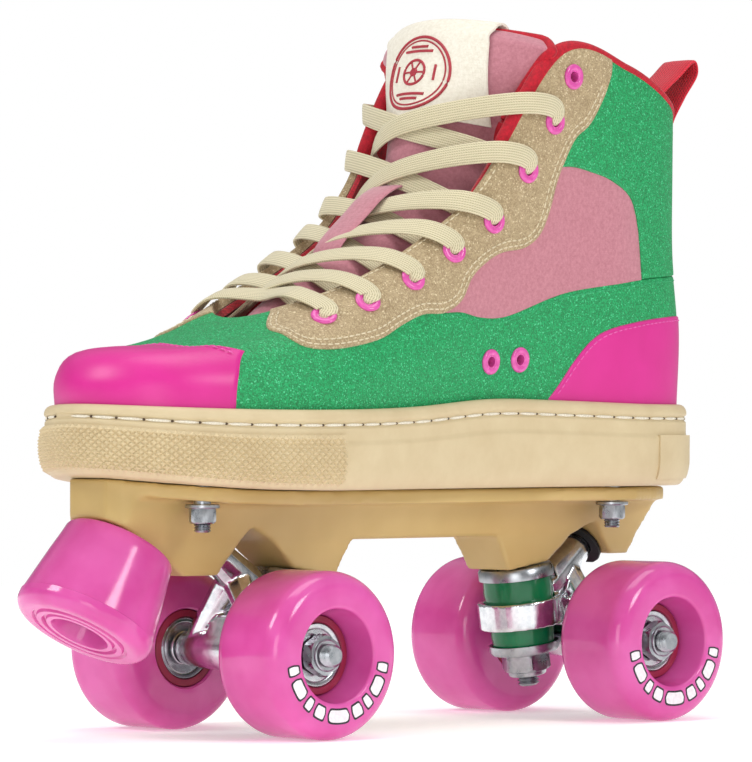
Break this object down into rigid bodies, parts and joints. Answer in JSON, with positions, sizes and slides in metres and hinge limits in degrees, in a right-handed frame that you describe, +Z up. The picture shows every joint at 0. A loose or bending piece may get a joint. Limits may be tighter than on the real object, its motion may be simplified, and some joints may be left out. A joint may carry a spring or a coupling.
{
  "type": "quad roller skate",
  "caption": "High-top laced boot on a moulded plate with two sprung steering trucks, four wheels and a toe stop.",
  "frame": {"origin": "middle of the skate's length and width, on the floor under the wheels", "axes": "+Z up, -Y towards the toe, +X towards the inner side of this right skate"},
  "size_m": [0.114, 0.313, 0.2535],
  "materials": {
    "urethane": "cast urethane, glossy",
    "core_nylon": "moulded nylon",
    "steel": "zinc-plated steel",
    "aluminium": "polished casting",
    "cushion": "glossy urethane cushion",
    "cup_rubber": "matt rubber",
    "plate_nylon": "moulded reinforced nylon",
    "sole_rubber": "matt vulcanised rubber",
    "leather": "smooth coated leather",
    "glitter": "fine glitter cloth",
    "suede": "glitter-dusted suede",
    "textile": "brushed textile",
    "lining": "knitted lining and webbing",
    "lace": "flat woven cotton",
    "label": "woven label"
  },
  "bodies": {
    "chassis": {"plate": "plate_nylon", "toe_stop": "urethane", "toe_stop_bolt": "steel", "front_kingpin": "steel", "front_upper_cushion": "cushion", "front_lower_cushion": "cushion", "front_upper_washer": "steel", "front_lower_washer": "steel", "front_kingpin_nut": "steel", "front_pivot_cup": "cup_rubber", "front_left_mounting_bolt": "steel", "front_right_mounting_bolt": "steel", "rear_kingpin": "steel", "rear_upper_cushion": "cushion", "rear_lower_cushion": "cushion", "rear_upper_washer": "steel", "rear_lower_washer": "steel", "rear_kingpin_nut": "steel", "rear_pivot_cup": "cup_rubber", "rear_left_mounting_bolt": "steel", "rear_right_mounting_bolt": "steel", "lining_shell": "lining", "toe_cap": "leather", "vamp_and_quarters": "glitter", "heel_counter": "leather", "side_panel_left": "textile", "side_panel_right": "textile", "ankle_panel": "glitter", "eyestay_left": "suede", "eyestay_right": "suede", "cupsole": "sole_rubber", "insole": "lining", "tongue": "textile", "tongue_label": "label", "lace": "lace", "pull_loop": "lining"},
    "front_truck": {"front_hanger": "aluminium", "front_axle": "steel", "front_left_axle_nut": "steel", "front_right_axle_nut": "steel"},
    "front_left_wheel": {"front_left_tyre": "urethane", "front_left_core": "core_nylon", "front_left_inner_bearing": "steel", "front_left_outer_bearing": "steel"},
    "front_right_wheel": {"front_right_tyre": "urethane", "front_right_core": "core_nylon", "front_right_inner_bearing": "steel", "front_right_outer_bearing": "steel"},
    "rear_truck": {"rear_hanger": "aluminium", "rear_axle": "steel", "rear_left_axle_nut": "steel", "rear_right_axle_nut": "steel"},
    "rear_left_wheel": {"rear_left_tyre": "urethane", "rear_left_core": "core_nylon", "rear_left_inner_bearing": "steel", "rear_left_outer_bearing": "steel"},
    "rear_right_wheel": {"rear_right_tyre": "urethane", "rear_right_core": "core_nylon", "rear_right_inner_bearing": "steel", "rear_right_outer_bearing": "steel"}
  },
  "joints": [
    {"name": "front_steer", "type": "hinge", "parent": "chassis", "child": "front_truck", "pos_m": [0, -0.04675, 0.0388], "axis": [0, -0.7804, 0.6252], "range_deg": [-8, 8], "stiffness_Nm_per_rad": 25, "deforming": ["front_upper_cushion", "front_lower_cushion"]},
    {"name": "rear_steer", "type": "hinge", "parent": "chassis", "child": "rear_truck", "pos_m": [0, 0.06985, 0.0388], "axis": [0, 0.7804, 0.6252], "range_deg": [-8, 8], "stiffness_Nm_per_rad": 25, "deforming": ["rear_upper_cushion", "rear_lower_cushion"]},
    {"name": "front_left_roll", "type": "hinge", "parent": "front_truck", "child": "front_left_wheel", "pos_m": [0.0405, -0.0697, 0.029], "axis": [1, 0, 0], "continuous": true},
    {"name": "front_right_roll", "type": "hinge", "parent": "front_truck", "child": "front_right_wheel", "pos_m": [-0.0405, -0.0697, 0.029], "axis": [1, 0, 0], "continuous": true},
    {"name": "rear_left_roll", "type": "hinge", "parent": "rear_truck", "child": "rear_left_wheel", "pos_m": [0.0405, 0.0928, 0.029], "axis": [1, 0, 0], "continuous": true},
    {"name": "rear_right_roll", "type": "hinge", "parent": "rear_truck", "child": "rear_right_wheel", "pos_m": [-0.0405, 0.0928, 0.029], "axis": [1, 0, 0], "continuous": true}
  ]
}
